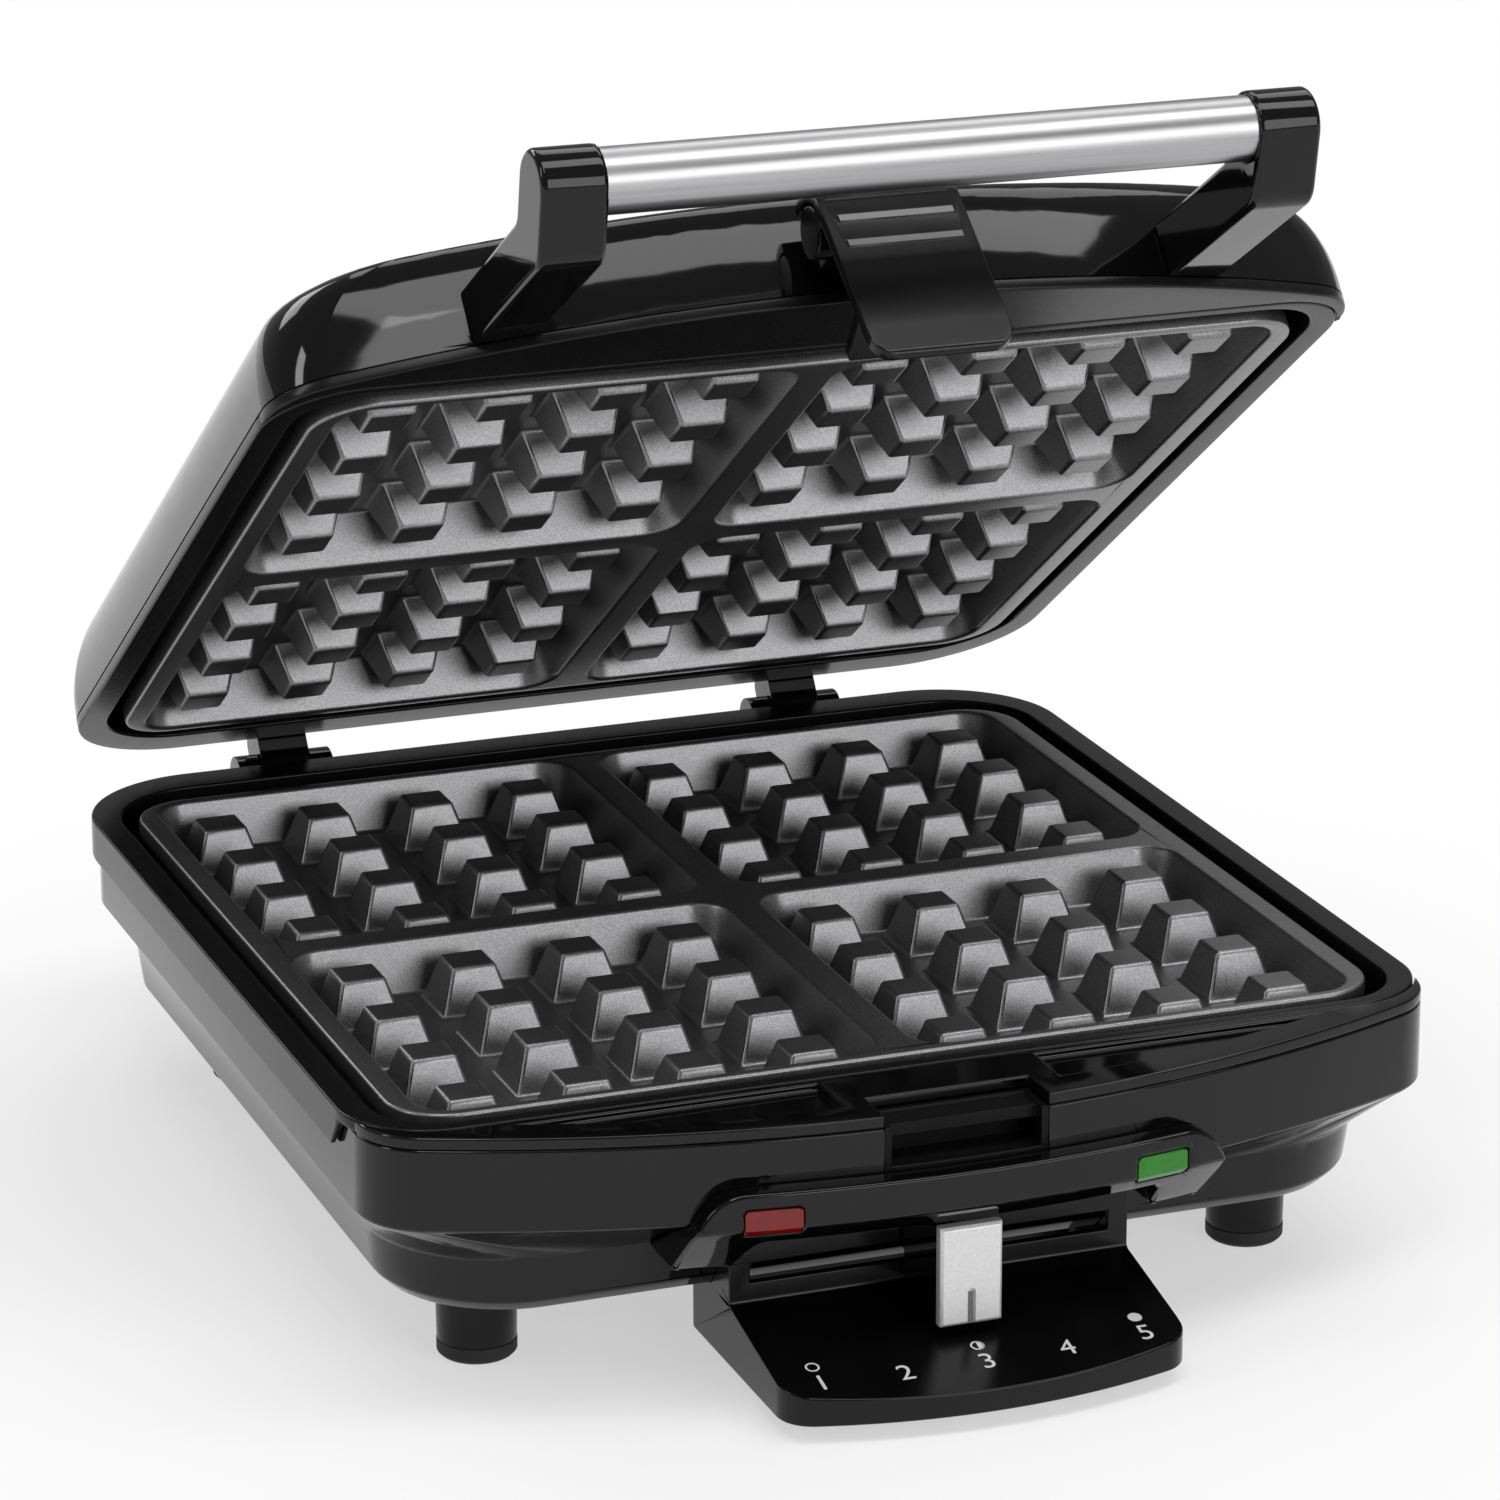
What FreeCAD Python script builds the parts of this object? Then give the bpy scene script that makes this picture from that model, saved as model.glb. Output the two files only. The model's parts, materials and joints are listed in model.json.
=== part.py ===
import FreeCAD, Part
import math
import os

V = FreeCAD.Vector

# Waffle maker for four square waffles. X runs to the right seen from the front, Y to the back, Z up.
# The origin is on the table under the middle of the grid plates. Millimetres and degrees.

# Waffle grid
PITCH = 28.0
QUADRANT_GAP = 9.6
BUMPS_PER_SIDE = 4
BUMP_END = 10.9
BUMP_FOOT = 18.2
BUMP_SHORT = 1.5
RECESS_DEPTH = 13.0
RECESS_MARGIN = 0.5
RECESS_OPENING = BUMPS_PER_SIDE * PITCH + 2 * RECESS_MARGIN
RECESS_SLOPE = 3.4
RECESS_R = 9.0
QUADRANT_PITCH = BUMPS_PER_SIDE * PITCH + QUADRANT_GAP

# Grid plates
PLATE_RIM_SIDE = 6.0
PLATE_RIM_END = 3.1
PLATE_W = QUADRANT_PITCH + RECESS_OPENING + 2 * PLATE_RIM_SIDE
PLATE_D = QUADRANT_PITCH + RECESS_OPENING + 2 * PLATE_RIM_END
PLATE_R = 15.0
PLATE_FLOOR = 4.0
PLATE_H = RECESS_DEPTH + PLATE_FLOOR
PLATE_EDGE = 5.0
PLATE_STEP = 2.2
PLATE_GAP = 1.5

# Plan of the base and the lid, worked out from the plates and the moat round them
MOAT_SIDE = 4.4
MOAT_FRONT = 4.2
MOAT_REAR = 9.0
MOAT_R = 17.0
MOAT_R_REAR = 24.0
MOAT_WALL = 1.6
LIP_SIDE = 5.5
LIP_END = 2.3
LIP_REAR = 10.0
LIP_HALF_W = PLATE_W / 2 + MOAT_SIDE + MOAT_WALL + LIP_SIDE
LIP_FRONT = -(PLATE_D / 2 + MOAT_FRONT + MOAT_WALL + LIP_END)
REAR_Y = PLATE_D / 2 + MOAT_REAR + MOAT_WALL + LIP_REAR
LIP_R_FRONT = 22.0
LIP_R_REAR = 33.0
BOW_REACH = 28.5
BOW_DROP = 2.45
BOW_SAG = BOW_REACH + BOW_DROP
BOW_FRONT = LIP_FRONT - BOW_REACH
BOW_R = (LIP_HALF_W ** 2 + BOW_SAG ** 2) / (2 * BOW_SAG)
BOW_R_CORNER = 18.0
LID_R_CORNER = 20.0
SEAT_W = 12.0
SEAT_T = 2.4
TOP_T = 3.0
SEAM = 0.3

# Heights of the base housing, from the feet up
BASE_BOTTOM_Z = 20.0
BODY_H = 14.5
SHOULDER_H = 12.5
FASCIA_H = 22.6
BODY_TOP_Z = BASE_BOTTOM_Z + BODY_H
SHOULDER_Z = BODY_TOP_Z + SHOULDER_H
LOWER_RIM_Z = SHOULDER_Z + FASCIA_H
UPPER_RIM_Z = LOWER_RIM_Z + PLATE_GAP
BASE_TOP_Z = LOWER_RIM_Z
BASE_SEAM_Z = BASE_TOP_Z - TOP_T
LOWER_BACK_Z = LOWER_RIM_Z - PLATE_H
UPPER_BACK_Z = UPPER_RIM_Z + PLATE_H
SEAT_BOTTOM_Z = LOWER_BACK_Z - SEAT_T
LID_LIFT = 2.8
LID_LIP_Z = LOWER_RIM_Z + LID_LIFT
LID_SEAM_Z = LID_LIP_Z + TOP_T
LID_SEAT_TOP_Z = UPPER_BACK_Z + SEAT_T

# Base housing
BASE_WALL = 2.8
BASE_FLOOR_Z = BASE_BOTTOM_Z + BASE_WALL
BASE_ROUND = 3.2
BODY_INSET_SIDE = 10.3
BODY_INSET_FRONT = 1.5
BODY_INSET_REAR = 10.0
BODY_HALF_W = LIP_HALF_W - BODY_INSET_SIDE
BODY_FRONT = LIP_FRONT + BODY_INSET_FRONT
BODY_REAR = REAR_Y - BODY_INSET_REAR
BODY_DRAFT = 1.6
BODY_R = 24.0
BODY_R_FRONT = 34.0
RAIL_T = 1.4
RAIL_H = 10.6
RAIL_BOTTOM_Z = LOWER_RIM_Z - RAIL_H
RAIL_SHORT = 20.5
RAIL_END_Y = LIP_FRONT + RAIL_SHORT
RAIL_END_LEAN = 6.0
TUB_HALF_W = LIP_HALF_W - RAIL_T - SEAM
TUB_REAR = REAR_Y - RAIL_T - SEAM

# Latch plate, as wide as the notch allows
LATCH_HALF_W = 17.0
NOTCH_ROOM = 3.2
NOTCH_HALF_W = LATCH_HALF_W + NOTCH_ROOM

# Front ledge and latch notch
NOTCH_H = 12.6
NOTCH_FLOOR_Z = LOWER_RIM_Z - NOTCH_H
NOTCH_DEPTH = 13.0
POCKET_WALL = 1.8
CATCH_RISE = 6.0
CATCH_Z = NOTCH_FLOOR_Z + CATCH_RISE
CATCH_T = 3.0
CATCH_REACH = 7.0
GROOVE_FROM_NOTCH = 6.8
GROOVE_FROM_SIDE = 28.8
GROOVE_INNER = NOTCH_HALF_W + GROOVE_FROM_NOTCH
GROOVE_OUTER = LIP_HALF_W - GROOVE_FROM_SIDE
GROOVE_EDGE = 9.0
GROOVE_DEPTH = 1.8
GROOVE_R = 5.0

# Control shelf and slider
SHELF_HALF_W = 50.0
SHELF_OUT = 23.0
SHELF_IN = 20.0
SHELF_FRONT = BOW_FRONT - SHELF_OUT
SHELF_REAR = BODY_FRONT + SHELF_IN
SHELF_BOW_R = 150.0
SHELF_R = 9.0
SHELF_R_REAR = 4.0
SHELF_DEPTH = 15.2
SHELF_WALL = 2.4
SHELF_FALL = 0.2125
RISER_OUT = 7.8
RISER_H = 15.3
RISER_Y = BODY_FRONT - RISER_OUT
RISER_FOOT_Z = BODY_TOP_Z - RISER_H
RISER_FOOT_R = 1.2
SHELF_BOTTOM_Z = RISER_FOOT_Z - SHELF_DEPTH
SLOT_DROP = 8.1
SLOT_Z = BODY_TOP_Z - SLOT_DROP
SLOT_H = 4.6
SLIDE_STOP = 10.0
SLIDE_TRAVEL = SHELF_HALF_W - SLIDE_STOP
SLIDE_CLEAR = 0.3
STEM_W = 9.0
STEM_IN = 21.0
STEM_TAIL = 5.0
STEM_PIN_Y = BODY_FRONT + STEM_IN
STEM_END_Y = STEM_PIN_Y + STEM_TAIL
STEM_PIN_D = 3.0

# Control arch, windows and lamps
ARCH_PROUD = 6.0
ARCH_UNDER_NOTCH = 1.0
ARCH_H = 14.0
ARCH_LEG = 9.5
ARCH_TOP_Z = NOTCH_FLOOR_Z - ARCH_UNDER_NOTCH
ARCH_UNDER_Z = ARCH_TOP_Z - ARCH_H
ARCH_FOOT_Z = ARCH_UNDER_Z - ARCH_LEG
ARCH_KNEE_Z = SHOULDER_Z
ARCH_FOOT_OUT = 20.0
ARCH_FOOT_FRONT = BODY_FRONT - ARCH_FOOT_OUT
ARCH_SIDE = 16.0
ARCH_TAPER = 6.5
ARCH_LAP = 0.5
ARCH_HALF_W = SHELF_HALF_W + ARCH_SIDE
ARCH_HALF_TOP = ARCH_HALF_W - ARCH_TAPER
ARCH_HALF_OPEN = SHELF_HALF_W - ARCH_LAP
ARCH_FOOT_W = 14.0
ARCH_R = 11.0
ARCH_KNEE_R = 12.0
ARCH_BEND_R = 3.0
ARCH_TOE_R = 1.0
WINDOW_INSET = 2.1
WINDOW_RISE = 1.6
WINDOW_X = SHELF_HALF_W - WINDOW_INSET
WINDOW_Z = SHOULDER_Z + WINDOW_RISE
WINDOW_W = 13.6
WINDOW_H = 6.8
WINDOW_R = 1.2
WINDOW_SINK = 0.3
LAMP_D = 5.0
LAMP_L = 14.0

# Slider knob
KNOB_W = 15.4
KNOB_OUT = 2.8
KNOB_T = 3.0
KNOB_DROP = 2.2
KNOB_CLEAR = 0.6
KNOB_FACE_Y = BOW_FRONT - KNOB_OUT
KNOB_BOTTOM_Z = RISER_FOOT_Z - KNOB_DROP
KNOB_TOP_Z = ARCH_UNDER_Z - KNOB_CLEAR
POINTER_W = 1.8
POINTER_H = 8.8
POINTER_DEPTH = 0.9
CARRIER_GAP = 1.4
CARRIER_R = 4.0

# Heating elements and reflectors
ELEMENT_D = 6.6
ELEMENT_INSET_SIDE = 45.3
ELEMENT_INSET_END = 42.4
ELEMENT_HALF_W = PLATE_W / 2 - ELEMENT_INSET_SIDE
ELEMENT_HALF_D = PLATE_D / 2 - ELEMENT_INSET_END
ELEMENT_R = 26.0
ELEMENT_GAP = 0.1
REFLECTOR_T = 1.0
REFLECTOR_ROOM = 0.8
REFLECTOR_DEPTH = ELEMENT_GAP + ELEMENT_D + REFLECTOR_ROOM + REFLECTOR_T
REFLECTOR_FLANGE = 7.0
REFLECTOR_MARGIN = 12.0
REFLECTOR_HALF = ELEMENT_HALF_W + REFLECTOR_MARGIN
REFLECTOR_R = 14.0
REFLECTOR_FLOOR_Z = LOWER_BACK_Z - REFLECTOR_DEPTH

# Thermostat and its lever
LEVER_ARM = 94.0
SPINDLE_Y = STEM_PIN_Y + LEVER_ARM
SPINDLE_D = 6.0
LEVER_T = 2.4
LEVER_W = 10.0
LEVER_HUB_D = 14.0
LEVER_SLOT_W = 5.6
LEVER_END = 3.0
THERMOSTAT_D = 26.0
THERMOSTAT_H = 9.0

# Feet
FOOT_INSET_X = 25.8
FOOT_INSET_Y = 34.8
FOOT_X = BODY_HALF_W - FOOT_INSET_X
FOOT_Y = BODY_REAR - FOOT_INSET_Y
FOOT_D = 19.4
FOOT_TAPER = 0.6
PAD_H = 4.0
PAD_STEP = 0.2
PAD_D = FOOT_D - 2 * PAD_STEP
PAD_SPIGOT_D = 12.0
PAD_SPIGOT_H = 3.0

# Housing posts and screws
POST_INSET_X = 10.0
POST_INSET_Y = 69.0
POST_X = BODY_HALF_W - POST_INSET_X
POST_Y = BODY_REAR - POST_INSET_Y
POST_D = 9.0
SCREW_D = 3.4
SCREW_HEAD_D = 6.4
SCREW_HEAD_H = 2.2
SCREW_CLEAR = 0.1

# Cord inlet
INLET_INSET = 24.5
INLET_RISE = 5.0
INLET_X = BODY_HALF_W - INLET_INSET
INLET_Z = SHOULDER_Z + INLET_RISE
INLET_D = 10.0
INLET_FLANGE_D = 13.0
INLET_FLANGE_T = 2.0
INLET_BORE = 7.0

# Terminal block and fuse
TERMINAL_INSET_X = 40.5
TERMINAL_INSET_Y = 35.0
TERMINAL_X = BODY_HALF_W - TERMINAL_INSET_X
TERMINAL_Y = BODY_REAR - TERMINAL_INSET_Y
TERMINAL_W = 36.0
TERMINAL_D = 17.0
TERMINAL_H = 13.0
FUSE_X = 40.0
FUSE_Y = 30.0
FUSE_D = 5.0
FUSE_L = 18.0

# Hinge
HINGE_OUT = 6.7
HINGE_DROP = 5.6
HINGE_INSET = 61.8
HINGE_Y = REAR_Y + HINGE_OUT
HINGE_Z = LOWER_RIM_Z - HINGE_DROP
HINGE_X = LIP_HALF_W - HINGE_INSET
KNUCKLE_W = 13.4
KNUCKLE_R = 6.0
KNUCKLE_BEND_R = 6.0
KNUCKLE_ROOT = 9.6
KNUCKLE_ROOT_Z = LID_SEAM_Z + KNUCKLE_ROOT
EAR_W = 6.0
EAR_GAP = 0.3
EAR_FOOT_R = 3.0
EAR_HEEL_R = 4.0
HINGE_PIN_D = 5.0
HINGE_FIT = 0.05
LID_OPEN = 34.7

# Lid
LID_WALL = 2.6
LID_UPRIGHT = 1.0
LID_ROOM = 2.8
DOME_START_Z = LID_SEAM_Z + LID_UPRIGHT
DOME_TOP_Z = UPPER_BACK_Z + REFLECTOR_DEPTH + LID_ROOM + LID_WALL
LID_RISE = DOME_TOP_Z - DOME_START_Z
LID_SHOULDER_SIDE = 24.0
LID_SHOULDER_FRONT = 11.0
LID_SHOULDER_REAR = 45.0
LID_POWER_SIDE = 0.5
LID_POWER_FRONT = 0.6
LID_POWER_REAR = 0.7
DOME_STEPS = 8

# Handle
TUBE_D = 15.0
TUBE_WALL = 1.2
TUBE_OUT = 47.5
TUBE_RISE = 15.6
TUBE_Y = BOW_FRONT - TUBE_OUT
TUBE_Z = LID_LIP_Z + TUBE_RISE
ARM_INSET = 57.8
ARM_INNER_X = LIP_HALF_W - ARM_INSET
ARM_W = 15.6
ARM_COVER = 0.9
ARM_LEAN = 45.0
ARM_ROOT_LOW = 4.2
ARM_ROOT_HIGH = 17.6
ARM_ELBOW = -1.4
ARM_CROOK = 13.6
ARM_ROOT_LOW_Z = LID_LIP_Z + ARM_ROOT_LOW
ARM_ROOT_HIGH_Z = LID_LIP_Z + ARM_ROOT_HIGH
ARM_ELBOW_Z = LID_LIP_Z + ARM_ELBOW
ARM_CROOK_Z = LID_LIP_Z + ARM_CROOK
ARM_ELBOW_R = 7.0
ARM_CROOK_R = 5.0
ARM_EDGE_R = 1.6
TUBE_SOCKET = 6.0
TUBE_FIT = 0.05
ROD_D = 6.0
ROD_SOCKET = 11.0
ROD_FIT = 0.05

# Latch
PIVOT_OUT = 11.3
PIVOT_RISE = 13.1
PIVOT_Y = BOW_FRONT - PIVOT_OUT
PIVOT_Z = LID_LIP_Z + PIVOT_RISE
LATCH_R = 10.0
LATCH_T = 3.0
LATCH_LENGTH = 44.6
LATCH_CORNER_R = 6.0
LATCH_TOP_R = 3.0
LATCH_OUT = 18.5
LATCH_IN = 5.0
LATCH_CURL = 110.0
CHEEK_T = 4.0
CHEEK_R = 6.2
BRACKET_R = 5.4
BRACKET_GAP = 0.4
LATCH_PIN_D = 4.0
LATCH_FIT = 0.05
HOOK_HALF_W = LATCH_HALF_W - CHEEK_T
HOOK_T = 3.0
HOOK_GAP = 0.5
HOOK_IN = 4.0
HOOK_TIP_Y = BOW_FRONT + HOOK_IN
BAR_INSET = 3.0
BAR_HALF_W = LATCH_HALF_W - BAR_INSET
BAR_H = 2.0
BAR_TOP = 2.5
BAR_PITCH = 7.35
BAR_PROUD = 0.5
BAR_COUNT = 3

HINGE_AXIS = V(0, HINGE_Y, HINGE_Z)
PIVOT = V(0, PIVOT_Y, PIVOT_Z)
AXIS_X = V(1, 0, 0)

LIP_PLAN = dict(half_w=LIP_HALF_W, front=LIP_FRONT, rear=REAR_Y, r_front=LIP_R_FRONT, r_rear=LIP_R_REAR, bow=0)
TUB_PLAN = dict(half_w=TUB_HALF_W, front=BOW_FRONT, rear=TUB_REAR, r_front=BOW_R_CORNER,
                r_rear=LIP_R_REAR - RAIL_T, bow=BOW_R)
BODY_PLAN = dict(half_w=BODY_HALF_W, front=BODY_FRONT, rear=BODY_REAR, r_front=BODY_R_FRONT, r_rear=BODY_R, bow=0)
LID_PLAN = dict(half_w=LIP_HALF_W, front=BOW_FRONT, rear=REAR_Y, r_front=LID_R_CORNER, r_rear=LIP_R_REAR, bow=BOW_R)
MOAT_PLAN = dict(half_w=PLATE_W / 2 + MOAT_SIDE, front=-PLATE_D / 2 - MOAT_FRONT, rear=PLATE_D / 2 + MOAT_REAR,
                 r_front=MOAT_R, r_rear=MOAT_R_REAR, bow=0)
PLATE_PLAN = dict(half_w=PLATE_W / 2, front=-PLATE_D / 2, rear=PLATE_D / 2, r_front=PLATE_R, r_rear=PLATE_R, bow=0)
SHELF_PLAN = dict(half_w=SHELF_HALF_W, front=SHELF_FRONT, rear=SHELF_REAR, r_front=SHELF_R, r_rear=SHELF_R_REAR,
                  bow=SHELF_BOW_R)


def grow(plan, d):
    """The same plan with every side moved out by d."""
    bigger = dict(plan)
    bigger["half_w"] += d
    bigger["front"] -= d
    bigger["rear"] += d
    bigger["r_front"] = max(plan["r_front"] + d, SEAM)
    bigger["r_rear"] = max(plan["r_rear"] + d, SEAM)
    bigger["bow"] = plan["bow"] + d if plan["bow"] else 0
    return bigger


def outline(plan, z):
    """Closed wire of eight edges: front, then round by the right, the back and the left."""
    w = plan["half_w"]
    rf = plan["r_front"]
    rr = plan["r_rear"]
    if plan["bow"]:
        bow = plan["bow"]
        centre_y = plan["front"] + bow
        corner_y = centre_y - math.sqrt((bow - rf) ** 2 - (w - rf) ** 2)
        reach = bow / (bow - rf)
        touch = (reach * (w - rf), centre_y + reach * (corner_y - centre_y))
        normal = math.atan2(touch[1] - corner_y, touch[0] - (w - rf))
        front_edge = Part.Arc(V(-touch[0], touch[1], z), V(0, plan["front"], z), V(touch[0], touch[1], z)).toShape()
    else:
        corner_y = plan["front"] + rf
        touch = (w - rf, plan["front"])
        normal = -math.pi / 2
        front_edge = Part.makeLine(V(-touch[0], touch[1], z), V(touch[0], touch[1], z))
    middle = normal / 2
    mid_front = (w - rf + rf * math.cos(middle), corner_y + rf * math.sin(middle))
    turn = rr * math.sqrt(0.5)
    back = plan["rear"]
    back_y = back - rr
    edges = [
        front_edge,
        Part.Arc(V(touch[0], touch[1], z), V(mid_front[0], mid_front[1], z), V(w, corner_y, z)).toShape(),
        Part.makeLine(V(w, corner_y, z), V(w, back_y, z)),
        Part.Arc(V(w, back_y, z), V(w - rr + turn, back_y + turn, z), V(w - rr, back, z)).toShape(),
        Part.makeLine(V(w - rr, back, z), V(rr - w, back, z)),
        Part.Arc(V(rr - w, back, z), V(rr - w - turn, back_y + turn, z), V(-w, back_y, z)).toShape(),
        Part.makeLine(V(-w, back_y, z), V(-w, corner_y, z)),
        Part.Arc(V(-w, corner_y, z), V(-mid_front[0], mid_front[1], z), V(-touch[0], touch[1], z)).toShape(),
    ]
    return Part.Wire(edges)


def slab(plan, z0, z1):
    """Upright block of a plan between two heights."""
    return Part.Face(outline(plan, z0)).extrude(V(0, 0, z1 - z0))


def box(x0, x1, y0, y1, z0, z1):
    return Part.makeBox(x1 - x0, y1 - y0, z1 - z0, V(x0, y0, z0))


def rod(a, b, d):
    """Round bar of diameter d from point a to point b."""
    return Part.makeCylinder(d / 2, (b - a).Length, a, b - a)


def rounded(points, place):
    """Closed wire through (u, v, radius) corners, put in space by place(u, v)."""
    flat = [V(u, v, 0) for u, v, _ in points]
    starts = []
    arcs = []
    for i, (_, _, r) in enumerate(points):
        here = flat[i]
        a = (flat[i - 1] - here).normalize()
        b = (flat[(i + 1) % len(flat)] - here).normalize()
        half = a.getAngle(b) / 2
        run = r / math.tan(half)
        middle = here + (a + b).normalize() * (r / math.sin(half) - r)
        starts.append((here + a * run, here + b * run))
        arcs.append(middle if r > 0 else None)
    edges = []
    for i, middle in enumerate(arcs):
        first, last = (place(p.x, p.y) for p in starts[i])
        if middle is not None:
            edges.append(Part.Arc(first, place(middle.x, middle.y), last).toShape())
        following = starts[(i + 1) % len(starts)][0]
        edges.append(Part.makeLine(last, place(following.x, following.y)))
    return Part.Wire(edges)


def across(points, x0, x1):
    """Side profile of (y, z, radius) corners, carried along X."""
    return Part.Face(rounded(points, lambda u, v: V(x0, u, v))).extrude(V(x1 - x0, 0, 0))


def forward(points, y0, y1):
    """Front profile of (x, z, radius) corners, carried along Y."""
    return Part.Face(rounded(points, lambda u, v: V(u, y0, v))).extrude(V(0, y1 - y0, 0))


def mirrored(shape):
    return shape.mirror(V(0, 0, 0), AXIS_X)


def end_edges(shape, x_values):
    """Edges that lie wholly in the planes x = one of the values."""
    found = []
    for edge in shape.Edges:
        box_ = edge.BoundBox
        if any(abs(box_.XMin - x) < 1e-6 and abs(box_.XMax - x) < 1e-6 for x in x_values):
            found.append(edge)
    return found


def opened(shape):
    """A lid piece, drawn closed, turned to the lid's rest angle."""
    turned = shape.copy()
    turned.rotate(HINGE_AXIS, AXIS_X, -LID_OPEN)
    return turned


def swung(shape):
    """A latch piece, drawn hanging straight, turned to its rest angle on the lid."""
    turned = shape.copy()
    turned.rotate(PIVOT, AXIS_X, -LATCH_OUT)
    return opened(turned)


# Grid plates


def square(side, x, y, z):
    h = side / 2
    return Part.makePolygon([V(x - h, y - h, z), V(x + h, y - h, z), V(x + h, y + h, z), V(x - h, y + h, z),
                             V(x - h, y - h, z)])


def recess_plan(side, r):
    return dict(half_w=side / 2, front=-side / 2, rear=side / 2, r_front=r, r_rear=r, bow=0)


def grid_recess():
    """Cavity of one quadrant under a rim at z = 0, with its bumps left standing."""
    floor = -RECESS_DEPTH
    top = outline(recess_plan(RECESS_OPENING, RECESS_R), 0)
    bottom = outline(recess_plan(RECESS_OPENING - 2 * RECESS_SLOPE, RECESS_R - RECESS_SLOPE), floor)
    cavity = Part.makeLoft([bottom, top], True, True)
    bumps = []
    middle = (BUMPS_PER_SIDE - 1) / 2
    for i in range(BUMPS_PER_SIDE):
        for j in range(BUMPS_PER_SIDE):
            x = (i - middle) * PITCH
            y = (j - middle) * PITCH
            foot = square(BUMP_FOOT, x, y, floor)
            end = square(BUMP_END, x, y, -BUMP_SHORT)
            bumps.append(Part.makeLoft([foot, end], True, True))
    return cavity.cut(Part.makeCompound(bumps))


def grid_plate():
    """Cast plate with its rim at z = 0 and four recesses, on a flange that steps in below the rim."""
    body = slab(PLATE_PLAN, -PLATE_EDGE, 0)
    body = body.fuse(slab(grow(PLATE_PLAN, -PLATE_STEP), -PLATE_H, -PLATE_EDGE))
    cavity = grid_recess()
    half = QUADRANT_PITCH / 2
    cavities = []
    for sx in (-1, 1):
        for sy in (-1, 1):
            copy = cavity.copy()
            copy.translate(V(sx * half, sy * half, 0))
            cavities.append(copy)
    return body.cut(Part.makeCompound(cavities)).removeSplitter()


def heating_element(z):
    """Bent tubular heater: one loop, open at the back, whose two legs end side by side."""
    w = ELEMENT_HALF_W
    d = ELEMENT_HALF_D
    corners = [(-ELEMENT_R, d), (-w, d), (-w, -d), (w, -d), (w, d), (ELEMENT_R, d)]
    edges = []
    last = V(corners[0][0], corners[0][1], z)
    for i in range(1, len(corners) - 1):
        here = V(corners[i][0], corners[i][1], z)
        a = (V(corners[i - 1][0], corners[i - 1][1], z) - here).normalize()
        b = (V(corners[i + 1][0], corners[i + 1][1], z) - here).normalize()
        first = here + a * ELEMENT_R
        after = here + b * ELEMENT_R
        middle = here + (a + b) * ELEMENT_R * (1 - math.sqrt(0.5))
        edges.append(Part.makeLine(last, first))
        edges.append(Part.Arc(first, middle, after).toShape())
        last = after
    edges.append(Part.makeLine(last, V(corners[-1][0], corners[-1][1], z)))
    path = Part.Wire(edges)
    section = Part.Wire(Part.Circle(V(corners[0][0], corners[0][1], z), V(1, 0, 0), ELEMENT_D / 2).toShape())
    return path.makePipeShell([section], True, False)


def reflector(flange_z, floor_z):
    """Pressed tray: a flange, a wall and a floor of sheet metal."""
    up = 1 if flange_z > floor_z else -1
    inner = recess_plan(2 * REFLECTOR_HALF, REFLECTOR_R)
    low = min(floor_z, flange_z)
    high = max(floor_z, flange_z)
    tray = slab(inner, low, high)
    hollow = slab(grow(inner, -REFLECTOR_T), low + REFLECTOR_T, high + REFLECTOR_T)
    if up < 0:
        hollow = slab(grow(inner, -REFLECTOR_T), low - REFLECTOR_T, high - REFLECTOR_T)
    rim_z = flange_z - REFLECTOR_T if up > 0 else flange_z
    rim = slab(grow(inner, REFLECTOR_FLANGE), rim_z, rim_z + REFLECTOR_T)
    return tray.fuse(rim).cut(hollow).removeSplitter()


# Base


def tub_outer(d):
    """Outside of the base housing grown by d: bowed upper band, shoulder, and a straight lower body."""
    base = grow(BODY_PLAN, d)
    low = grow(base, -BODY_DRAFT)
    sections = [
        outline(grow(low, -BASE_ROUND), BASE_BOTTOM_Z),
        outline(low, BASE_BOTTOM_Z + BASE_ROUND),
        outline(base, BODY_TOP_Z),
        outline(grow(TUB_PLAN, d), SHOULDER_Z),
        outline(grow(TUB_PLAN, d), BASE_SEAM_Z),
    ]
    return Part.makeLoft(sections, True, True)


def tub_inner():
    """Space inside the base housing."""
    base = grow(BODY_PLAN, -BASE_WALL)
    low = grow(base, -BODY_DRAFT)
    sections = [
        outline(grow(low, -BASE_ROUND), BASE_FLOOR_Z),
        outline(low, BASE_FLOOR_Z + BASE_ROUND),
        outline(base, BODY_TOP_Z + BASE_WALL / 2),
        outline(grow(TUB_PLAN, -BASE_WALL), SHOULDER_Z + BASE_WALL / 2),
        outline(grow(TUB_PLAN, -BASE_WALL), BASE_SEAM_Z + TOP_T),
    ]
    return Part.makeLoft(sections, True, True)


TUB_OUTSIDE = tub_outer(0)
POSTS = [(sx * POST_X, sy * POST_Y) for sx in (-1, 1) for sy in (-1, 1)]
FEET = [(name, sx * FOOT_X, sy * FOOT_Y) for name, sx, sy in
        (("front_left", -1, -1), ("front_right", 1, -1), ("rear_left", -1, 1), ("rear_right", 1, 1))]


def notch_cut():
    """Space of the latch notch, open to the front and the top."""
    return box(-NOTCH_HALF_W, NOTCH_HALF_W, BOW_FRONT - ARCH_PROUD, BOW_FRONT + NOTCH_DEPTH,
               NOTCH_FLOOR_Z - POCKET_WALL, BASE_TOP_Z + TOP_T)


def stem_slot(y0, y1, slack):
    """Slot for the slider's stem, as wide as its travel."""
    half = SLIDE_TRAVEL + STEM_W / 2 + slack
    return box(-half, half, y0, y1, SLOT_Z - SLOT_H / 2, SLOT_Z + SLOT_H / 2)


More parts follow.
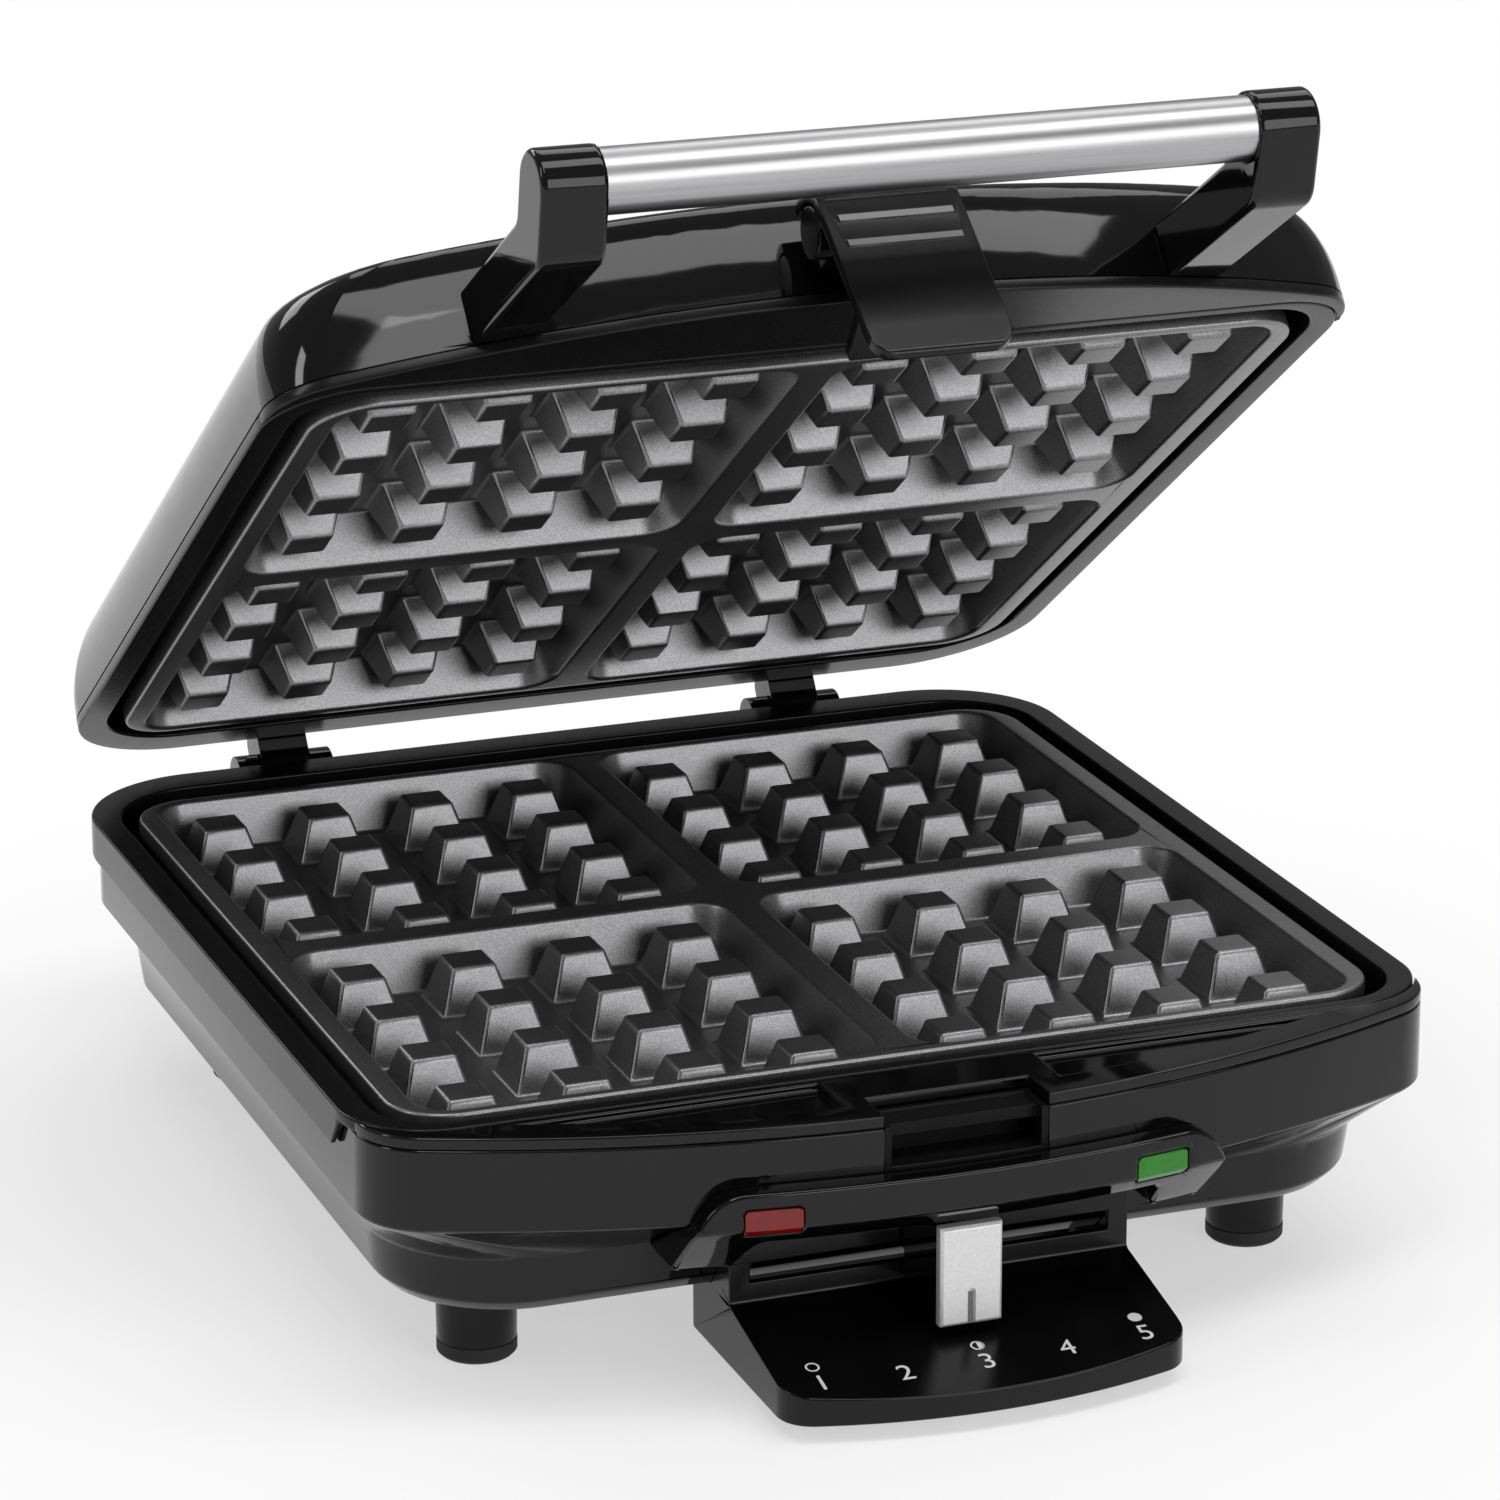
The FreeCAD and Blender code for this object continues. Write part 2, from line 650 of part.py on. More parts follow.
def base_tub():
    shell = TUB_OUTSIDE.cut(tub_inner())
    for x, y in POSTS:
        post = rod(V(x, y, BASE_BOTTOM_Z), V(x, y, SEAT_BOTTOM_Z), POST_D).common(tub_inner())
        shell = shell.fuse(post)
    for x, y in POSTS:
        shell = shell.cut(rod(V(x, y, 0), V(x, y, SEAT_BOTTOM_Z + 1), SCREW_D + 2 * SCREW_CLEAR))
        head_top = V(x, y, BASE_BOTTOM_Z + SCREW_HEAD_H)
        shell = shell.cut(rod(V(x, y, 0), head_top, SCREW_HEAD_D + 2 * SCREW_CLEAR))
    shell = shell.cut(notch_cut())
    shell = shell.cut(stem_slot(BODY_FRONT - BASE_WALL, BODY_FRONT + 4 * BASE_WALL, SLIDE_CLEAR))
    for sx in (-1, 1):
        hole = rod(V(sx * WINDOW_X, BOW_FRONT, WINDOW_Z), V(sx * WINDOW_X, BOW_FRONT / 2, WINDOW_Z),
                   LAMP_D + 2 * SCREW_CLEAR)
        shell = shell.cut(hole)
    inlet = rod(V(INLET_X, TUB_REAR - 2 * BASE_WALL, INLET_Z), V(INLET_X, TUB_REAR + BASE_WALL, INLET_Z), INLET_D)
    return shell.cut(inlet).removeSplitter()


def frame_ring(top_z, seam_z, wall_end_z, seat_z, plan):
    """Flat ring of a plan with a moat wall and an inward seat for the grid plate."""
    z0, z1 = sorted((top_z, seam_z))
    w0, w1 = sorted((top_z, wall_end_z))
    s0, s1 = sorted((seat_z, wall_end_z))
    ring = slab(plan, z0, z1)
    ring = ring.fuse(slab(grow(MOAT_PLAN, MOAT_WALL), w0, w1))
    ring = ring.cut(slab(MOAT_PLAN, w0 - TOP_T, w1 + TOP_T))
    seat = slab(grow(MOAT_PLAN, MOAT_WALL), s0, s1).cut(slab(grow(PLATE_PLAN, -SEAT_W), s0, s1))
    return ring.fuse(seat).removeSplitter()


def base_frame():
    frame = frame_ring(BASE_TOP_Z, BASE_SEAM_Z, SEAT_BOTTOM_Z, LOWER_BACK_Z, LIP_PLAN)
    rail = slab(LIP_PLAN, RAIL_BOTTOM_Z, BASE_SEAM_Z).cut(slab(grow(LIP_PLAN, -RAIL_T), RAIL_BOTTOM_Z, BASE_SEAM_Z))
    far = 2 * LIP_HALF_W
    front = across([(-far, RAIL_BOTTOM_Z, 0), (RAIL_END_Y + RAIL_END_LEAN, RAIL_BOTTOM_Z, 0),
                    (RAIL_END_Y, BASE_SEAM_Z, 0), (-far, BASE_SEAM_Z, 0)], -far, far)
    frame = frame.fuse(rail.cut(front))
    for x, y in POSTS:
        frame = frame.cut(rod(V(x, y, SEAT_BOTTOM_Z - 1), V(x, y, LOWER_BACK_Z), SCREW_D))
    return frame.removeSplitter()


def crescent(plan, z0, z1):
    """Front ledge between the straight lip and the bowed front."""
    return slab(plan, z0, z1).cut(slab(grow(LIP_PLAN, SEAM), z0, z1))


def base_front_ledge():
    ledge = crescent(TUB_PLAN, BASE_SEAM_Z, BASE_TOP_Z).cut(notch_cut())
    floor_z = BASE_TOP_Z - GROOVE_DEPTH
    inside = slab(grow(TUB_PLAN, -GROOVE_EDGE), floor_z, BASE_TOP_Z + TOP_T)
    band_y = LIP_FRONT - SEAM - GROOVE_R / 2
    deep_y = BOW_FRONT
    for sx in (-1, 1):
        reach = forward([(sx * GROOVE_INNER, floor_z, 0), (sx * GROOVE_OUTER, floor_z, 0),
                         (sx * GROOVE_OUTER, BASE_TOP_Z + TOP_T, 0), (sx * GROOVE_INNER, BASE_TOP_Z + TOP_T, 0)],
                        deep_y, band_y)
        ledge = ledge.cut(reach.common(inside))
    return ledge.removeSplitter()


def arch_face(d):
    """Space behind the arch's face moved in by d: upright in front of the fascia, leaning back below."""
    top = grow(TUB_PLAN, ARCH_PROUD - d)
    foot = dict(top)
    foot["front"] = ARCH_FOOT_FRONT + d
    sections = [outline(foot, ARCH_FOOT_Z), outline(top, ARCH_KNEE_Z), outline(top, BASE_SEAM_Z)]
    return Part.makeLoft(sections, True, True)


def control_arch():
    foot_in = ARCH_HALF_W - ARCH_FOOT_W
    half = [(foot_in, ARCH_FOOT_Z, ARCH_TOE_R), (ARCH_HALF_W, ARCH_FOOT_Z, ARCH_TOE_R),
            (ARCH_HALF_W, ARCH_KNEE_Z, ARCH_KNEE_R), (ARCH_HALF_TOP, ARCH_TOP_Z, ARCH_R)]
    opening = [(-ARCH_HALF_OPEN, ARCH_UNDER_Z, ARCH_BEND_R), (ARCH_HALF_OPEN, ARCH_UNDER_Z, ARCH_BEND_R)]
    corners = opening + half + [(-x, z, r) for x, z, r in reversed(half)]
    arch = forward(corners, BOW_FRONT - 3 * ARCH_PROUD, BODY_FRONT).common(arch_face(0)).cut(TUB_OUTSIDE)
    for sx in (-1, 1):
        arch = arch.cut(window(sx, 0))
    return arch.removeSplitter()


def window(side, slack):
    """Straight block behind one indicator window."""
    w = WINDOW_W / 2 - slack
    h = WINDOW_H / 2 - slack
    x = side * WINDOW_X
    corners = [(x - w, WINDOW_Z - h, WINDOW_R), (x + w, WINDOW_Z - h, WINDOW_R), (x + w, WINDOW_Z + h, WINDOW_R),
               (x - w, WINDOW_Z + h, WINDOW_R)]
    return forward(corners, BOW_FRONT - 2 * ARCH_PROUD, BOW_FRONT / 2)


def lens(side):
    return window(side, SEAM / 3).common(arch_face(WINDOW_SINK)).cut(TUB_OUTSIDE)


def lamp(side):
    """Neon lamp in a sleeve, set in the housing wall behind its window."""
    x = side * WINDOW_X
    drop = BOW_R - math.sqrt(BOW_R ** 2 - (WINDOW_X + LAMP_D) ** 2)
    shoulder = (BODY_FRONT - BOW_FRONT) / (SHOULDER_Z - BODY_TOP_Z)
    sink = max(SHOULDER_Z - WINDOW_Z + LAMP_D / 2, 0) * shoulder
    front = BOW_FRONT + drop + sink + SEAM
    return rod(V(x, front, WINDOW_Z), V(x, front + LAMP_L, WINDOW_Z), LAMP_D)


def shelf_z(y):
    """Height of the shelf's sloping top at a depth y."""
    return RISER_FOOT_Z + (y - RISER_Y) * SHELF_FALL


def control_shelf():
    body = slab(SHELF_PLAN, SHELF_BOTTOM_Z, SHOULDER_Z)
    far = 2 * SHELF_FRONT
    above = across([(far, shelf_z(far), 0), (RISER_Y, RISER_FOOT_Z, RISER_FOOT_R), (RISER_Y, 2 * SHOULDER_Z, 0),
                    (far, 2 * SHOULDER_Z, 0)], -SHELF_HALF_W - 1, SHELF_HALF_W + 1)
    body = body.cut(above).cut(TUB_OUTSIDE)
    roof = SHELF_WALL
    hollow = slab(grow(SHELF_PLAN, -SHELF_WALL), SHELF_BOTTOM_Z - 1, SHOULDER_Z)
    low = SHELF_BOTTOM_Z - roof
    behind = RISER_Y + SHELF_WALL
    over = across([(RISER_Y + (low + roof - RISER_FOOT_Z) / SHELF_FALL, low, 0), (SHELF_REAR, low, 0),
                   (SHELF_REAR, BODY_TOP_Z - SHELF_WALL, 0), (behind, BODY_TOP_Z - SHELF_WALL, 0),
                   (behind, shelf_z(behind) - roof, 0)], -SHELF_HALF_W, SHELF_HALF_W)
    body = body.cut(hollow.common(over))
    return body.cut(stem_slot(RISER_Y - 1, RISER_Y + 3 * SHELF_WALL, SLIDE_CLEAR)).removeSplitter()


def latch_catch():
    """Pocket behind the front notch, with the bar that the latch's hook catches under."""
    w = NOTCH_HALF_W
    back = BOW_FRONT + NOTCH_DEPTH
    low = NOTCH_FLOOR_Z - POCKET_WALL
    block = box(-w, w, BOW_FRONT - ARCH_PROUD, back, low, BASE_SEAM_Z)
    pocket = box(POCKET_WALL - w, w - POCKET_WALL, BOW_FRONT - ARCH_PROUD, back - POCKET_WALL, NOTCH_FLOOR_Z, BASE_TOP_Z)
    bar = box(POCKET_WALL - w, w - POCKET_WALL, back - POCKET_WALL - CATCH_REACH, back - POCKET_WALL, CATCH_Z,
              CATCH_Z + CATCH_T)
    return block.cut(pocket).fuse(bar).common(tub_outer(-SEAM)).removeSplitter()


def foot(x, y):
    """Hollow tapered leg with a socket for the pad's spigot."""
    leg = Part.makeCone(FOOT_D / 2 - FOOT_TAPER / 2, FOOT_D / 2, BASE_BOTTOM_Z - PAD_H, V(x, y, PAD_H))
    return leg.cut(rod(V(x, y, PAD_H), V(x, y, PAD_H + PAD_SPIGOT_H + SEAM), PAD_SPIGOT_D))


def foot_pad(x, y):
    """Rubber tip: a disc with a bevelled edge and a spigot up into the leg."""
    bevel = PAD_H / 4
    tip = Part.makeCone(PAD_D / 2 - bevel, PAD_D / 2, bevel, V(x, y, 0))
    tip = tip.fuse(rod(V(x, y, bevel), V(x, y, PAD_H), PAD_D))
    return tip.fuse(rod(V(x, y, PAD_H), V(x, y, PAD_H + PAD_SPIGOT_H), PAD_SPIGOT_D - 2 * SCREW_CLEAR)).removeSplitter()


def base_screws():
    screws = []
    for x, y in POSTS:
        head_z = BASE_BOTTOM_Z + SCREW_HEAD_H
        head = rod(V(x, y, BASE_BOTTOM_Z), V(x, y, head_z), SCREW_HEAD_D)
        shank = rod(V(x, y, head_z), V(x, y, LOWER_BACK_Z - SEAM), SCREW_D - 2 * SCREW_CLEAR)
        screws.append(head.fuse(shank).removeSplitter())
    return Part.makeCompound(screws)


def cord_inlet():
    outer = rod(V(INLET_X, TUB_REAR - BASE_WALL, INLET_Z), V(INLET_X, TUB_REAR, INLET_Z), INLET_D - 2 * SCREW_CLEAR)
    flange = rod(V(INLET_X, TUB_REAR, INLET_Z), V(INLET_X, TUB_REAR + INLET_FLANGE_T, INLET_Z), INLET_FLANGE_D)
    bore = rod(V(INLET_X, TUB_REAR - 2 * BASE_WALL, INLET_Z), V(INLET_X, TUB_REAR + 2 * BASE_WALL, INLET_Z), INLET_BORE)
    return outer.fuse(flange).cut(bore).removeSplitter()


def terminal_block():
    block = box(TERMINAL_X - TERMINAL_W / 2, TERMINAL_X + TERMINAL_W / 2, TERMINAL_Y - TERMINAL_D / 2,
                TERMINAL_Y + TERMINAL_D / 2, BASE_FLOOR_Z, BASE_FLOOR_Z + TERMINAL_H)
    cells = 3
    cell = TERMINAL_W / cells
    for i in range(cells):
        x = TERMINAL_X - TERMINAL_W / 2 + (i + 0.5) * cell
        hole = rod(V(x, TERMINAL_Y - TERMINAL_D, BASE_FLOOR_Z + TERMINAL_H / 2),
                   V(x, TERMINAL_Y + TERMINAL_D, BASE_FLOOR_Z + TERMINAL_H / 2), TERMINAL_H / 3)
        block = block.cut(hole)
    return block


def thermostat():
    top = REFLECTOR_FLOOR_Z
    body = rod(V(0, SPINDLE_Y, top - THERMOSTAT_H), V(0, SPINDLE_Y, top), THERMOSTAT_D)
    return body.cut(rod(V(0, SPINDLE_Y, 0), V(0, SPINDLE_Y, top - THERMOSTAT_H / 2), SPINDLE_D))


def thermal_fuse():
    z = REFLECTOR_FLOOR_Z - FUSE_D / 2 - ELEMENT_GAP
    return rod(V(FUSE_X - FUSE_L / 2, FUSE_Y, z), V(FUSE_X + FUSE_L / 2, FUSE_Y, z), FUSE_D)


# Slider and browning lever


def slider_carrier():
    half = KNOB_W / 2 - SLIDE_CLEAR
    back = RISER_Y - CARRIER_GAP
    front = KNOB_FACE_Y + KNOB_T
    rise = CARRIER_GAP
    block = across([(front, KNOB_BOTTOM_Z + SEAM, 0), (back, shelf_z(back) + rise, 0),
                    (back, BODY_TOP_Z, CARRIER_R), (front, KNOB_TOP_Z - SEAM, 0)], -half, half)
    stem_z = SLOT_H / 2 - SLIDE_CLEAR
    stem = box(-STEM_W / 2, STEM_W / 2, back, STEM_END_Y, SLOT_Z - stem_z, SLOT_Z + stem_z)
    pin_top = SLOT_Z + stem_z + LEVER_T + 3 * SLIDE_CLEAR
    pin = rod(V(0, STEM_PIN_Y, SLOT_Z), V(0, STEM_PIN_Y, pin_top), STEM_PIN_D)
    return block.fuse(stem).fuse(pin).removeSplitter()


def slider_knob():
    half = KNOB_W / 2
    face = box(-half, half, KNOB_FACE_Y, KNOB_FACE_Y + KNOB_T, KNOB_BOTTOM_Z, KNOB_TOP_Z)
    rim = [e for e in face.Edges if abs(e.BoundBox.YMax - KNOB_FACE_Y) < 1e-6]
    face = face.makeChamfer(KNOB_T / 4, rim)
    round_z = KNOB_BOTTOM_Z + POINTER_H - POINTER_W / 2
    deep = KNOB_FACE_Y + POINTER_DEPTH
    face = face.cut(box(-POINTER_W / 2, POINTER_W / 2, KNOB_FACE_Y - 1, deep, KNOB_BOTTOM_Z - 1, round_z))
    return face.cut(rod(V(0, KNOB_FACE_Y - 1, round_z), V(0, deep, round_z), POINTER_W))


def browning_lever():
    """Slotted lever on the thermostat's spindle, driven by the pin on the slider's stem."""
    low = SLOT_Z + SLOT_H / 2
    z1 = low + LEVER_T
    arm = SPINDLE_Y - STEM_PIN_Y
    room = LEVER_SLOT_W / 2
    far_y = SPINDLE_Y - math.sqrt(arm ** 2 + SLIDE_TRAVEL ** 2) - room
    near_y = STEM_PIN_Y + room
    plate = box(-LEVER_W / 2, LEVER_W / 2, far_y - LEVER_END, SPINDLE_Y, low, z1)
    hub_top = REFLECTOR_FLOOR_Z - THERMOSTAT_H - SLIDE_CLEAR
    plate = plate.fuse(rod(V(0, SPINDLE_Y, low), V(0, SPINDLE_Y, hub_top), LEVER_HUB_D))
    spindle = SPINDLE_D - 2 * HINGE_FIT
    plate = plate.fuse(rod(V(0, SPINDLE_Y, low), V(0, SPINDLE_Y, REFLECTOR_FLOOR_Z - THERMOSTAT_H / 2 - SEAM), spindle))
    long_slot = box(-LEVER_SLOT_W / 2, LEVER_SLOT_W / 2, far_y, near_y, low - 1, z1 + 1)
    return plate.cut(long_slot).removeSplitter()


# Hinge


def hinge_bracket(side):
    """Two ears on the base's rear wall, one on each side of the lid's knuckle."""
    r = KNUCKLE_R
    wall = TUB_REAR
    under = RAIL_BOTTOM_Z - SEAM
    front = HINGE_Y - r
    corners = [(wall, SHOULDER_Z, 0), (wall + r, SHOULDER_Z, EAR_FOOT_R), (HINGE_Y + r, HINGE_Z - r, EAR_HEEL_R),
               (HINGE_Y + r, HINGE_Z + r, r - 0.1), (front, HINGE_Z + r, r - 0.1), (front, under, 0), (wall, under, 0)]
    ears = []
    inner = KNUCKLE_W / 2 + EAR_GAP
    for s in (-1, 1):
        x0, x1 = sorted((HINGE_X * side + s * inner, HINGE_X * side + s * (inner + EAR_W)))
        ears.append(across(corners, x0, x1))
    bridge = box(HINGE_X * side - inner, HINGE_X * side + inner, wall, wall + SEAT_T, SHOULDER_Z,
                 HINGE_Z - r - 2 * SEAT_T)
    bracket = ears[0].fuse(ears[1]).fuse(bridge)
    return bracket.cut(hinge_bore(side, 0)).removeSplitter()


def hinge_bore(side, slack):
    half = KNUCKLE_W / 2 + EAR_GAP + EAR_W
    x = HINGE_X * side
    return rod(V(x - half, HINGE_Y, HINGE_Z), V(x + half, HINGE_Y, HINGE_Z), HINGE_PIN_D + 2 * slack)


def lid_knuckle(side):
    """Arm from the lid's rear wall down to the hinge pin."""
    r = KNUCKLE_R
    front = HINGE_Y - r
    corners = [(front, HINGE_Z - r, r - 0.1), (HINGE_Y + r, HINGE_Z - r, r - 0.1),
               (HINGE_Y + r, LID_SEAM_Z, KNUCKLE_BEND_R), (REAR_Y + 1, KNUCKLE_ROOT_Z, 0), (REAR_Y - 3 * r, KNUCKLE_ROOT_Z, 0),
               (REAR_Y - 3 * r, LID_SEAM_Z + SEAM, 0), (front, LID_SEAM_Z + SEAM, 0)]
    x0 = HINGE_X * side - KNUCKLE_W / 2
    arm = across(corners, x0, x0 + KNUCKLE_W)
    return arm.cut(dome(0)).cut(hinge_bore(side, HINGE_FIT)).removeSplitter()


# Lid


def dome(d):
    """Outside of the lid shell moved in by d: short upright band, elliptic shoulder, flat top."""
    sections = [outline(grow(LID_PLAN, -d), LID_SEAM_Z)]
    for i in range(DOME_STEPS + 1):
        phi = math.pi / 2 * i / DOME_STEPS
        z = DOME_START_Z + LID_RISE * math.sin(phi) - d * math.sin(phi)
        lean = max(math.cos(phi), 0)
        back = 1 - lean ** LID_POWER_FRONT
        plan = grow(LID_PLAN, -d)
        plan["half_w"] -= (LID_SHOULDER_SIDE - d) * (1 - lean ** LID_POWER_SIDE)
        plan["front"] += (LID_SHOULDER_FRONT - d) * back
        plan["rear"] -= (LID_SHOULDER_REAR - d) * (1 - lean ** LID_POWER_REAR)
        plan["r_front"] = LID_R_CORNER + LID_R_CORNER * back
        sections.append(outline(plan, z))
    return Part.makeLoft(sections, True, False)


def lid_shell():
    inside = dome(LID_WALL)
    shell = dome(0).cut(inside)
    for x, y in POSTS:
        shell = shell.fuse(rod(V(x, y, LID_SEAT_TOP_Z), V(x, y, DOME_TOP_Z), POST_D).common(inside))
    return shell


def lid_frame():
    ring = frame_ring(LID_LIP_Z, LID_SEAM_Z, LID_SEAT_TOP_Z, UPPER_BACK_Z, LIP_PLAN)
    low = ring.common(slab(LIP_PLAN, LID_LIP_Z, LID_SEAM_Z))
    high = ring.common(dome(LID_WALL + SEAM))
    return low.fuse(high).removeSplitter()


def lid_front_ledge():
    return crescent(LID_PLAN, LID_LIP_Z, LID_SEAM_Z)


def handle_arm(side):
    """Hooked arm from the lid's front slope to the handle tube, with sockets for the tube and its tie rod."""
    r = TUBE_D / 2 + ARM_COVER
    lean = math.radians(ARM_LEAN)
    up = V(0, -math.cos(lean), math.sin(lean))
    out = V(0, -math.sin(lean), -math.cos(lean))
    tube = V(0, TUBE_Y, TUBE_Z)
    top_front = tube + up * r + out * r
    top_back = tube + up * r - out * r
    fall_front = (TUBE_Z + out.z * r - ARM_ELBOW_Z) / up.z
    elbow = tube + out * r - up * fall_front
    fall_back = (TUBE_Z - out.z * r - ARM_CROOK_Z) / up.z
    crook = tube - out * r - up * fall_back
    root_y = BOW_FRONT + 2 * ARM_W
    corners = [(root_y, ARM_ROOT_LOW_Z, 0), (elbow.y, elbow.z, ARM_ELBOW_R), (top_front.y, top_front.z, r - 0.1),
               (top_back.y, top_back.z, r - 0.1), (crook.y, crook.z, ARM_CROOK_R), (root_y, ARM_ROOT_HIGH_Z, 0)]
    x0 = ARM_INNER_X
    x1 = ARM_INNER_X + ARM_W
    arm = across(corners, x0, x1)
    arm = arm.makeFillet(ARM_EDGE_R, end_edges(arm, (x0, x1)))
    arm = arm.cut(dome(0)).cut(slab(LID_PLAN, LID_LIP_Z, LID_SEAM_Z))
    arm = arm.cut(rod(V(0, TUBE_Y, TUBE_Z), V(x0 + TUBE_SOCKET, TUBE_Y, TUBE_Z), TUBE_D + 2 * TUBE_FIT))
    arm = arm.cut(rod(V(0, TUBE_Y, TUBE_Z), V(x0 + ROD_SOCKET, TUBE_Y, TUBE_Z), ROD_D + 2 * ROD_FIT))
    return arm if side > 0 else mirrored(arm)


def handle_tube():
    half = ARM_INNER_X + TUBE_SOCKET - SEAM
    a = V(-half, TUBE_Y, TUBE_Z)
    b = V(half, TUBE_Y, TUBE_Z)
    return rod(a, b, TUBE_D).cut(rod(a, b, TUBE_D - 2 * TUBE_WALL))


def handle_rod():
    half = ARM_INNER_X + ROD_SOCKET - SEAM
    return rod(V(-half, TUBE_Y, TUBE_Z), V(half, TUBE_Y, TUBE_Z), ROD_D)


# Latch


def latch_bracket():
    """Boss on the lid's front that carries the latch pin."""
    half = LATCH_HALF_W - CHEEK_T - BRACKET_GAP
    r = BRACKET_R
    root = BOW_FRONT + 2 * LATCH_R
    corners = [(PIVOT_Y - r, PIVOT_Z - r, r - 0.1), (PIVOT_Y - r, PIVOT_Z + r, r - 0.1),
               (PIVOT_Y + r, PIVOT_Z + r, r - 1), (PIVOT_Y + r, PIVOT_Z, 0), (root, PIVOT_Z, 0), (root, PIVOT_Z - r, 0)]
    boss = across(corners, -half, half).cut(dome(0))
    return boss.cut(rod(V(-half, PIVOT_Y, PIVOT_Z), V(half, PIVOT_Y, PIVOT_Z), LATCH_PIN_D))


def latch_pin():
    half = LATCH_HALF_W - CHEEK_T / 2
    return rod(V(-half, PIVOT_Y, PIVOT_Z), V(half, PIVOT_Y, PIVOT_Z), LATCH_PIN_D)


def latch_tab():
    """Pull tab: a plate that curls over the pin, two cheeks, a hook behind it and three raised grip bars."""
    outer = LATCH_R
    inner = LATCH_R - LATCH_T
    stop = math.radians(LATCH_CURL)
    low = -LATCH_LENGTH
    front = -outer

    def at(u, v):
        return V(-LATCH_HALF_W, PIVOT_Y + u, PIVOT_Z + v)

    def polar(radius, angle):
        return at(-radius * math.cos(angle), radius * math.sin(angle))

    tip = inner + LATCH_T / 2
    edges = [
        Part.makeLine(at(front, low + LATCH_T / 2), at(front, 0)),
        Part.Arc(at(front, 0), polar(outer, stop / 2), polar(outer, stop)).toShape(),
        Part.makeLine(polar(outer, stop), polar(inner, stop)),
        Part.Arc(polar(inner, stop), polar(inner, stop / 2), at(-inner, 0)).toShape(),
        Part.makeLine(at(-inner, 0), at(-inner, low + LATCH_T / 2)),
        Part.Arc(at(-inner, low + LATCH_T / 2), at(-tip, low), at(front, low + LATCH_T / 2)).toShape(),
    ]
    tab = Part.Face(Part.Wire(edges)).extrude(V(2 * LATCH_HALF_W, 0, 0))
    keep = forward([(-LATCH_HALF_W, PIVOT_Z + low, LATCH_CORNER_R), (LATCH_HALF_W, PIVOT_Z + low, LATCH_CORNER_R),
                    (LATCH_HALF_W, PIVOT_Z + 2 * outer, LATCH_TOP_R), (-LATCH_HALF_W, PIVOT_Z + 2 * outer, LATCH_TOP_R)],
                   PIVOT_Y - 3 * outer, PIVOT_Y + 3 * outer)
    tab = tab.common(keep)
    for s in (-1, 1):
        x0, x1 = sorted((s * (LATCH_HALF_W - CHEEK_T), s * LATCH_HALF_W))
        cheek = rod(V(x0, PIVOT_Y, PIVOT_Z), V(x1, PIVOT_Y, PIVOT_Z), 2 * CHEEK_R)
        web = box(x0, x1, PIVOT_Y - inner - LATCH_T / 2, PIVOT_Y, PIVOT_Z - CHEEK_R / 2, PIVOT_Z + CHEEK_R / 4)
        cheek = cheek.fuse(web)
        tab = tab.fuse(cheek)
    tab = tab.fuse(latch_hook())
    bars = []
    for i in range(BAR_COUNT):
        z = PIVOT_Z + BAR_TOP - i * BAR_PITCH - BAR_H / 2
        y = PIVOT_Y + front
        bars.append(box(-BAR_HALF_W, BAR_HALF_W, y - BAR_PROUD, y + LATCH_T / 2, z, z + BAR_H))
    tab = tab.fuse(bars)
    pin_half = LATCH_HALF_W - CHEEK_T / 2 + SEAM
    pin = rod(V(-pin_half, PIVOT_Y, PIVOT_Z), V(pin_half, PIVOT_Y, PIVOT_Z), LATCH_PIN_D + 2 * LATCH_FIT)
    return tab.cut(pin).removeSplitter()


def latch_hook():
    """Hook that lies level under the catch bar when the lid is shut and the latch is pushed home."""
    top = CATCH_Z - HOOK_GAP
    lean = (PIVOT_Z - top) * math.sin(math.radians(LATCH_IN))
    root_y = PIVOT_Y - LATCH_R + LATCH_T / 2 + lean
    hook = box(-HOOK_HALF_W, HOOK_HALF_W, root_y, HOOK_TIP_Y, top - HOOK_T, top)
    hook.rotate(PIVOT, AXIS_X, -LATCH_IN)
    return hook


